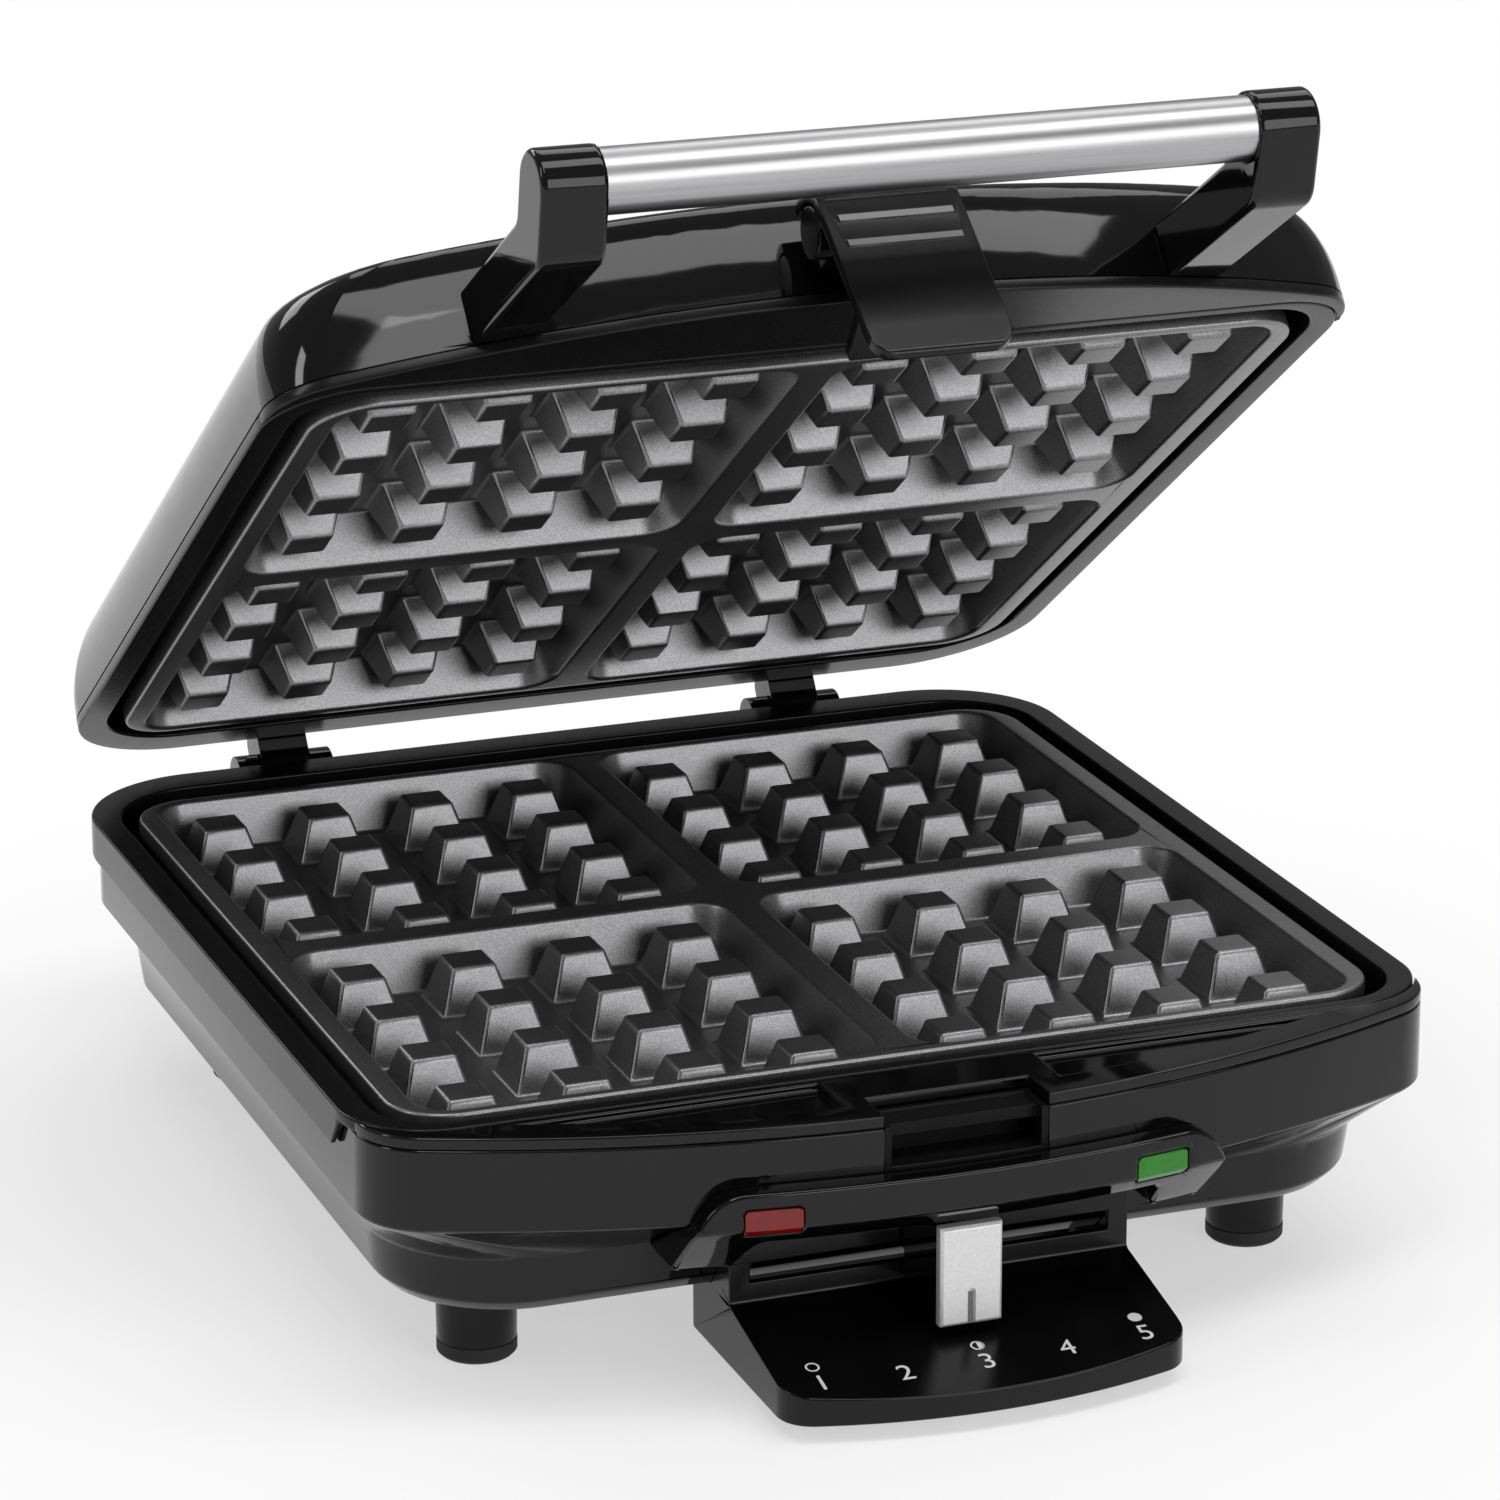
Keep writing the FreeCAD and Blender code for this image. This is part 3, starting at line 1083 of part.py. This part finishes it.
def write_parts():
    lower = grid_plate()
    lower.translate(V(0, 0, LOWER_RIM_Z))
    upper = grid_plate()
    upper.rotate(V(0, 0, 0), AXIS_X, 180)
    upper.translate(V(0, 0, UPPER_RIM_Z))
    element_drop = ELEMENT_D / 2 + ELEMENT_GAP

    parts = {
        "base_tub": base_tub(),
        "base_frame": base_frame(),
        "base_front_ledge": base_front_ledge(),
        "control_arch": control_arch(),
        "red_lens": lens(-1),
        "green_lens": lens(1),
        "red_lamp": lamp(-1),
        "green_lamp": lamp(1),
        "control_shelf": control_shelf(),
        "latch_catch": latch_catch(),
        "lower_plate": lower,
        "lower_element": heating_element(LOWER_BACK_Z - element_drop),
        "lower_reflector": reflector(LOWER_BACK_Z, REFLECTOR_FLOOR_Z),
        "thermostat": thermostat(),
        "thermal_fuse": thermal_fuse(),
        "terminal_block": terminal_block(),
        "base_screws": base_screws(),
        "cord_inlet": cord_inlet(),
        "slider_carrier": slider_carrier(),
        "slider_knob": slider_knob(),
        "browning_lever": browning_lever(),
        "lid_shell": opened(lid_shell()),
        "lid_frame": opened(lid_frame()),
        "lid_front_ledge": opened(lid_front_ledge()),
        "upper_plate": opened(upper),
        "upper_element": opened(heating_element(UPPER_BACK_Z + element_drop)),
        "upper_reflector": opened(reflector(UPPER_BACK_Z, UPPER_BACK_Z + REFLECTOR_DEPTH)),
        "handle_tube": opened(handle_tube()),
        "handle_rod": opened(handle_rod()),
        "latch_bracket": opened(latch_bracket()),
        "latch_pin": opened(latch_pin()),
        "latch_tab": swung(latch_tab()),
    }
    for name, x, y in FEET:
        parts["foot_" + name] = foot(x, y)
        parts["foot_pad_" + name] = foot_pad(x, y)
    for name, side in (("left", -1), ("right", 1)):
        parts["hinge_bracket_" + name] = hinge_bracket(side)
        parts["hinge_pin_" + name] = hinge_bore(side, 0)
        parts["lid_knuckle_" + name] = opened(lid_knuckle(side))
        parts["handle_arm_" + name] = opened(handle_arm(side))

    os.makedirs("parts", exist_ok=True)
    for name, shape in parts.items():
        shape.exportStep(os.path.join("parts", name + ".step"))


write_parts()
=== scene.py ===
import bpy
import json
import math
from mathutils import Matrix, Vector


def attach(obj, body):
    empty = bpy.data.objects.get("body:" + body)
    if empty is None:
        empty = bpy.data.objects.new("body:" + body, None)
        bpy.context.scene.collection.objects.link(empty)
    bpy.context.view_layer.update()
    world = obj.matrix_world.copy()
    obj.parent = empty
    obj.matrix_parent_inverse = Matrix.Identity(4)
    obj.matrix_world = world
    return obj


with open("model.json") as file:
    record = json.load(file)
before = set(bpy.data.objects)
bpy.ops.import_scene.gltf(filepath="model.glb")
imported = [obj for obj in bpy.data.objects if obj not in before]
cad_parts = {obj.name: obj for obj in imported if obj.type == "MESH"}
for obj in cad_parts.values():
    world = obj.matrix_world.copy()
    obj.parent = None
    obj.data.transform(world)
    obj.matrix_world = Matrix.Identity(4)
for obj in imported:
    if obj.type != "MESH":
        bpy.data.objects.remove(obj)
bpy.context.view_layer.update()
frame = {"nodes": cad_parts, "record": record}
MM = 0.001

# Rest angles of the lid and its latch, and their axes with the lid shut
LID_OPEN = math.radians(34.7)
LATCH_OUT = math.radians(18.5)
HINGE = Vector((0, 147.7, 64.0)) * MM
PIVOT = Vector((0, -168.3, 85.5)) * MM

# Sloping top of the control shelf: where it meets the riser behind it, in mm, and its fall to the front
RISER_Y = -134.8
RISER_FOOT_Z = 19.2
SHELF_FALL = 0.2125

# Print on the shelf, in mm
MARK_COUNT = 5
MARK_PITCH = 20.0
DIGIT_Y = -169.6
DIGIT_CURVE = 1.4
DIGIT_H = 5.6
SYMBOL_UP = 6.3
SYMBOL_R = 1.7
RING_W = 0.45
PRINT_T = 0.02

# A digit's height as a share of its font's size, and the straight steps along a mark's arc
DIGIT_SHARE = 0.7
ARC_STEPS = 48

# Strip of painted shade on the floor of the groove down the browning knob, in mm
GROOVE_SHADE_W = 1.7
GROOVE_SHADE_H = 7.9
GROOVE_SHADE_FOOT = (0, -158.92, 17.0)

# Grip bars on the latch, in mm, placed from its pivot
BAR_COUNT = 3
BAR_TOP = 2.5
BAR_PITCH = 7.35
BAR_FACE = 10.5
BAR_W = 27.6
BAR_H = 1.7

# Camera fitted to the photograph, in its pixels and in mm
PHOTO_SIZE = 1500
PHOTO_FOCAL = 6027.28
PHOTO_CENTRE = (790.96, 654.51)
SENSOR_W = 36.0
EYE = (-493.9, -1337.2, 569.5)
EYE_YAW = math.radians(20.897)
EYE_DOWN = math.radians(17.070)

# Softboxes in metres and watts: place, aim, size and power
LAMPS = {
    "key": ((0.66, -1.8, 0.75), (0, 0, 0.17), (1.3, 0.8), 11),
    "over": ((0.3, -0.42, 1.5), (0.3, -0.3, 0), (1.9, 0.5), 13),
    "over_left": ((-0.62, -0.84, 1.5), (-0.2, -0.1, 0.2), (0.28, 0.4), 1.6),
    "top": ((0.45, 0.85, 1.5), (0, 0, 0.2), (1.7, 0.6), 7),
    "side": ((-1.8, -0.1, 1.15), (0, 0, 0.15), (0.3, 0.7), 5),
    "rear": ((-0.9, 1.9, 1.3), (0, 0, 0.1), (1.2, 0.6), 9),
}

# Greys of the room and the floor, and the floor's roughness
ROOM_GREY = 0.25
FLOOR_GREY = 0.9
FLOOR_ROUGH = 0.9

# Floor and the camera's reach, in metres
FLOOR_HALF = 30.0
FLOOR_DROP = 0.2 * MM
SIGHT_END = 60

# The floor's own white grows from its least share to full between two radii, in metres
WHITE_LEAST = 0.55
WHITE_FROM = 0.15
WHITE_FULL = 0.36

scene = bpy.context.scene
scene.view_settings.view_transform = "Standard"


# Materials

NOISE_DETAIL = 4.0
BUMP_DEPTH = 0.1 * MM
BLACK = (0.0025, 0.0025, 0.0028)


def material(name, colour, rough, metal=0.0, scale=400.0, stretch=(1, 1, 1), vary=0.15, low=0.35,
             wander=0.15, bump=0.0, clear=0.0, shine=0.5):
    """Principled material with fine noise in its colour, roughness and, where asked, its surface."""
    look = bpy.data.materials.new(name)
    look.use_nodes = True
    nodes = look.node_tree.nodes
    links = look.node_tree.links
    shader = nodes["Principled BSDF"]
    shader.inputs["Metallic"].default_value = metal
    shader.inputs["Transmission Weight"].default_value = clear
    shader.inputs["Specular IOR Level"].default_value = shine
    coords = nodes.new("ShaderNodeTexCoord")
    mapping = nodes.new("ShaderNodeMapping")
    mapping.inputs["Scale"].default_value = stretch
    links.new(coords.outputs["Object"], mapping.inputs["Vector"])
    noise = nodes.new("ShaderNodeTexNoise")
    noise.inputs["Scale"].default_value = scale
    noise.inputs["Detail"].default_value = NOISE_DETAIL
    links.new(mapping.outputs["Vector"], noise.inputs["Vector"])
    tint = nodes.new("ShaderNodeValToRGB")
    tint.color_ramp.elements[0].position = low
    tint.color_ramp.elements[1].position = 1 - low
    tint.color_ramp.elements[0].color = [c * (1 - vary) for c in colour] + [1]
    tint.color_ramp.elements[1].color = [c * (1 + vary) for c in colour] + [1]
    links.new(noise.outputs["Fac"], tint.inputs["Fac"])
    links.new(tint.outputs["Color"], shader.inputs["Base Color"])
    spread = nodes.new("ShaderNodeMapRange")
    spread.inputs["To Min"].default_value = rough * (1 - wander)
    spread.inputs["To Max"].default_value = rough * (1 + wander)
    links.new(noise.outputs["Fac"], spread.inputs["Value"])
    links.new(spread.outputs["Result"], shader.inputs["Roughness"])
    if bump:
        relief = nodes.new("ShaderNodeBump")
        relief.inputs["Strength"].default_value = bump
        relief.inputs["Distance"].default_value = BUMP_DEPTH
        links.new(noise.outputs["Fac"], relief.inputs["Height"])
        links.new(relief.outputs["Normal"], shader.inputs["Normal"])
    return look


GLOSS = material("black_plastic", BLACK, 0.06, scale=60, vary=0.1, wander=0.1, shine=0.35)
SHELF = material("shelf_plastic", BLACK, 0.22, scale=60, vary=0.1, wander=0.1, shine=0.3)
RECESS = material("recess_plastic", (0.004, 0.004, 0.0042), 0.4, vary=0.1, shine=0.15)
PRINT = material("scale_print", (0.62, 0.62, 0.62), 0.5, scale=1500, vary=0.05)
# Grey of the latch's bars, also used for the painted shade in the knob's groove
BAR_GREY_AND_GROOVE_SHADE = material("grip_bar", (0.17, 0.17, 0.174), 0.34, scale=1500, vary=0.08)
LOOKS = {
    "black_plastic": GLOSS,
    "satin_black_plastic": material("satin_black_plastic", (0.006, 0.006, 0.0064), 0.26, scale=1500,
                                    vary=0.12, bump=0.04, shine=0.25),
    "nonstick_aluminium": material("nonstick_aluminium", (0.24, 0.24, 0.245), 0.36, 0.92, scale=3600,
                                   vary=0.3, low=0.4, bump=0.25, wander=0.2),
    "bright_aluminium": material("bright_aluminium", (0.75, 0.75, 0.75), 0.3, 1.0, scale=500),
    "steel": material("steel", (0.5, 0.5, 0.5), 0.32, 1.0, scale=700),
    "brushed_tube": material("brushed_tube", (0.43, 0.43, 0.44), 0.34, 1.0, scale=900, stretch=(0.02, 1, 1),
                             vary=0.08, bump=0.03),
    "silver_plastic": material("silver_plastic", (0.80, 0.80, 0.81), 0.38, 0.45, scale=1500, vary=0.05),
    "red_plastic": material("red_plastic", (0.19, 0.003, 0.003), 0.14, scale=300, vary=0.1),
    "green_plastic": material("green_plastic", (0.012, 0.2, 0.006), 0.14, scale=300, vary=0.1),
    "white_plastic": material("white_plastic", (0.75, 0.75, 0.73), 0.5),
    "lamp_glass": material("lamp_glass", (0.85, 0.85, 0.85), 0.08, scale=300, clear=0.8),
    "rubber": material("rubber", (0.014, 0.014, 0.014), 0.7, scale=1200, vary=0.2, bump=0.3),
}

# Nodes whose finish differs from their slot's
FINISHES = {"control_shelf": SHELF, "latch_catch": RECESS, "slider_carrier": GLOSS, "latch_tab": SHELF}

# Nodes that keep the normals they come with, and the round on the others' edges in mm
DOMED = ("lid_shell",)
EDGES = {"lower_plate": 0.8, "upper_plate": 0.8, "control_shelf": 0.5, "control_arch": 0.9,
         "latch_tab": 0.4, "base_tub": 0.7, "base_frame": 0.6, "base_front_ledge": 0.6,
         "lid_frame": 0.6, "lid_front_ledge": 0.6, "handle_tube": 0.15, "slider_knob": 0.2,
         "handle_arm_left": 0.8, "handle_arm_right": 0.8}
FINE_EDGE = 0.25
EDGE_SEGMENTS = 2
EDGE_ANGLE = math.radians(35)
WELD_REACH = 0.01


def dress():
    """Every solid takes its look and, unless it is domed, a fine round on its edges."""
    for part in frame["record"]["subparts"]:
        name = part["node"]
        node = frame["nodes"][name]
        node.data.materials.clear()
        node.data.materials.append(FINISHES.get(name, LOOKS[part["material_slot"]]))
        if name in DOMED:
            continue
        weld = node.modifiers.new("weld", "WELD")
        weld.merge_threshold = WELD_REACH * MM
        bevel = node.modifiers.new("edges", "BEVEL")
        bevel.width = EDGES.get(name, FINE_EDGE) * MM
        bevel.segments = EDGE_SEGMENTS
        bevel.limit_method = "ANGLE"
        bevel.angle_limit = EDGE_ANGLE
        bevel.use_clamp_overlap = False
        node.modifiers.new("normals", "WEIGHTED_NORMAL")


# Print on the shelf, painted shade in the knob's groove and bars on the latch


def piece(name, mesh, look, body):
    """New object that rides on a body."""
    mesh.materials.clear()
    mesh.materials.append(look)
    thing = bpy.data.objects.new(name, mesh)
    scene.collection.objects.link(thing)
    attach(thing, body)
    return thing


def shelf_place(x, y):
    """Frame on the shelf's sloping top, its Z along the slope's normal."""
    z = RISER_FOOT_Z + (y - RISER_Y) * SHELF_FALL + PRINT_T
    return Matrix.Translation(Vector((x, y, z)) * MM) @ Matrix.Rotation(math.atan(SHELF_FALL), 4, "X")


def digit_mesh(text):
    """Flat digit, centred on the origin."""
    curve = bpy.data.curves.new("digit_" + text, "FONT")
    curve.body = text
    curve.size = DIGIT_H / DIGIT_SHARE * MM
    curve.align_x = "CENTER"
    curve.align_y = "CENTER"
    holder = bpy.data.objects.new("digit_" + text, curve)
    scene.collection.objects.link(holder)
    bpy.context.view_layer.update()
    mesh = bpy.data.meshes.new_from_object(holder)
    bpy.data.objects.remove(holder)
    return mesh


def arc_points(radius, start, turn):
    """Points along an arc about the origin."""
    steps = [start + turn * i / ARC_STEPS for i in range(ARC_STEPS + 1)]
    return [(radius * MM * math.cos(a), radius * MM * math.sin(a), 0) for a in steps]


def sector_mesh(name, inner, outer, start, turn):
    """Flat ring sector; an inner radius of zero makes it a disc or half disc."""
    points = arc_points(outer, start, turn)
    count = len(points)
    if inner:
        points += arc_points(inner, start, turn)
        faces = [(count + i, i, i + 1, count + i + 1) for i in range(ARC_STEPS)]
    else:
        points.append((0, 0, 0))
        faces = [(count, i, i + 1) for i in range(ARC_STEPS)]
    mesh = bpy.data.meshes.new(name)
    mesh.from_pydata(points, [], faces)
    return mesh


def quad_mesh(name, corners):
    """One flat face with four corners."""
    mesh = bpy.data.meshes.new(name)
    mesh.from_pydata(corners, [], [(0, 1, 2, 3)])
    return mesh


def strip_mesh(name, width, low, high):
    """Upright strip that faces the front."""
    w = width / 2 * MM
    return quad_mesh(name, [(-w, 0, low * MM), (w, 0, low * MM), (w, 0, high * MM), (-w, 0, high * MM)])


def shelf_print():
    """Digits in a shallow curve, with an open, a half and a full dot over the first, middle and last."""
    middle = MARK_COUNT // 2
    for i in range(MARK_COUNT):
        x = (i - middle) * MARK_PITCH
        y = DIGIT_Y + DIGIT_CURVE * ((i - middle) / middle) ** 2
        text = str(i + 1)
        digit = piece("digit_" + text, digit_mesh(text), PRINT, "base")
        digit.matrix_world = shelf_place(x, y)
        marks = []
        if i in (0, middle):
            marks.append(sector_mesh("ring_%d" % i, SYMBOL_R - RING_W, SYMBOL_R, 0, math.tau))
        if i == middle:
            marks.append(sector_mesh("half_dot", 0, SYMBOL_R, -math.pi / 2, math.pi))
        if i == MARK_COUNT - 1:
            marks.append(sector_mesh("full_dot", 0, SYMBOL_R, 0, math.tau))
        for mesh in marks:
            mark = piece(mesh.name, mesh, PRINT, "base")
            mark.matrix_world = shelf_place(x, y + SYMBOL_UP)


def painted_groove_shade():
    """Darker strip on the floor of the groove down the browning knob, as painted shade."""
    mesh = strip_mesh("painted_groove_shade", GROOVE_SHADE_W, 0, GROOVE_SHADE_H)
    line = piece("painted_groove_shade", mesh, BAR_GREY_AND_GROOVE_SHADE, "slider")
    line.matrix_world = Matrix.Translation(Vector(GROOVE_SHADE_FOOT) * MM)


def turned(axis, angle):
    """Turn about a line along X through the point axis."""
    return Matrix.Translation(axis) @ Matrix.Rotation(angle, 4, "X") @ Matrix.Translation(-axis)


def latch_bars():
    """Grey faces on the latch's three raised bars."""
    rest = turned(HINGE, -LID_OPEN) @ turned(PIVOT, -LATCH_OUT)
    for i in range(BAR_COUNT):
        name = "grip_bar_%d" % i
        mesh = strip_mesh(name, BAR_W, -BAR_H / 2, BAR_H / 2)
        bar = piece(name, mesh, BAR_GREY_AND_GROOVE_SHADE, "latch")
        at = PIVOT + Vector((0, -BAR_FACE - PRINT_T, BAR_TOP - i * BAR_PITCH)) * MM
        bar.matrix_world = rest @ Matrix.Translation(at)


# Camera and light


def camera():
    """Camera at the photograph's place, with its focal length and centre."""
    data = bpy.data.cameras.new("camera")
    eye = bpy.data.objects.new("camera", data)
    scene.collection.objects.link(eye)
    data.sensor_width = SENSOR_W
    data.lens = SENSOR_W * PHOTO_FOCAL / PHOTO_SIZE
    data.shift_x = 0.5 - PHOTO_CENTRE[0] / PHOTO_SIZE
    data.shift_y = PHOTO_CENTRE[1] / PHOTO_SIZE - 0.5
    data.clip_end = SIGHT_END
    eye.location = Vector(EYE) * MM
    eye.rotation_euler = (math.pi / 2 - EYE_DOWN, 0, -EYE_YAW)
    scene.camera = eye


def softbox(name, place, aim, size, watts):
    """Rectangular lamp that faces its aim."""
    data = bpy.data.lights.new(name, "AREA")
    data.shape = "RECTANGLE"
    data.size = size[0]
    data.size_y = size[1]
    data.energy = watts
    light = bpy.data.objects.new(name, data)
    scene.collection.objects.link(light)
    light.location = place
    light.rotation_euler = (Vector(aim) - Vector(place)).to_track_quat("-Z", "Y").to_euler()


def room():
    """Plain grey room, the same to every ray."""
    world = bpy.data.worlds.new("studio")
    scene.world = world
    world.use_nodes = True
    world.node_tree.nodes["Background"].inputs["Color"].default_value = (ROOM_GREY, ROOM_GREY, ROOM_GREY, 1)


def sight(nodes, links):
    """One where the floor is seen straight, mirrored or through something clear, and nought elsewhere."""
    path = nodes.new("ShaderNodeLightPath")
    straight_or_mirrored = nodes.new("ShaderNodeMath")
    straight_or_mirrored.operation = "MAXIMUM"
    links.new(path.outputs["Is Camera Ray"], straight_or_mirrored.inputs[0])
    links.new(path.outputs["Is Glossy Ray"], straight_or_mirrored.inputs[1])
    all_sight = nodes.new("ShaderNodeMath")
    all_sight.operation = "MAXIMUM"
    links.new(straight_or_mirrored.outputs[0], all_sight.inputs[0])
    links.new(path.outputs["Is Transmission Ray"], all_sight.inputs[1])
    return all_sight.outputs[0]


def floor_look():
    """White that keeps the object's shadow and turns to plain white further out."""
    look = bpy.data.materials.new("floor")
    look.use_nodes = True
    nodes = look.node_tree.nodes
    links = look.node_tree.links
    shader = nodes["Principled BSDF"]
    shader.inputs["Base Color"].default_value = (FLOOR_GREY, FLOOR_GREY, FLOOR_GREY, 1)
    shader.inputs["Roughness"].default_value = FLOOR_ROUGH
    shader.inputs["Specular IOR Level"].default_value = 0.0
    glow = nodes.new("ShaderNodeEmission")
    coords = nodes.new("ShaderNodeTexCoord")
    reach = nodes.new("ShaderNodeVectorMath")
    reach.operation = "LENGTH"
    links.new(coords.outputs["Object"], reach.inputs[0])
    fade = nodes.new("ShaderNodeMapRange")
    fade.interpolation_type = "SMOOTHSTEP"
    fade.inputs["From Min"].default_value = WHITE_FROM
    fade.inputs["From Max"].default_value = WHITE_FULL
    fade.inputs["To Min"].default_value = WHITE_LEAST
    links.new(reach.outputs["Value"], fade.inputs["Value"])
    seen = nodes.new("ShaderNodeMath")
    seen.operation = "MULTIPLY"
    links.new(fade.outputs["Result"], seen.inputs[0])
    links.new(sight(nodes, links), seen.inputs[1])
    mix = nodes.new("ShaderNodeMixShader")
    links.new(seen.outputs[0], mix.inputs[0])
    links.new(shader.outputs[0], mix.inputs[1])
    links.new(glow.outputs[0], mix.inputs[2])
    links.new(mix.outputs[0], nodes["Material Output"].inputs["Surface"])
    return look


def floor():
    """Wide floor, a hair under the feet."""
    h = FLOOR_HALF
    mesh = quad_mesh("floor", [(-h, -h, 0), (h, -h, 0), (h, h, 0), (-h, h, 0)])
    mesh.materials.append(floor_look())
    ground = bpy.data.objects.new("floor", mesh)
    scene.collection.objects.link(ground)
    ground.location.z = -FLOOR_DROP


dress()
shelf_print()
painted_groove_shade()
latch_bars()
camera()
for lamp, values in LAMPS.items():
    softbox(lamp, *values)
room()
floor()
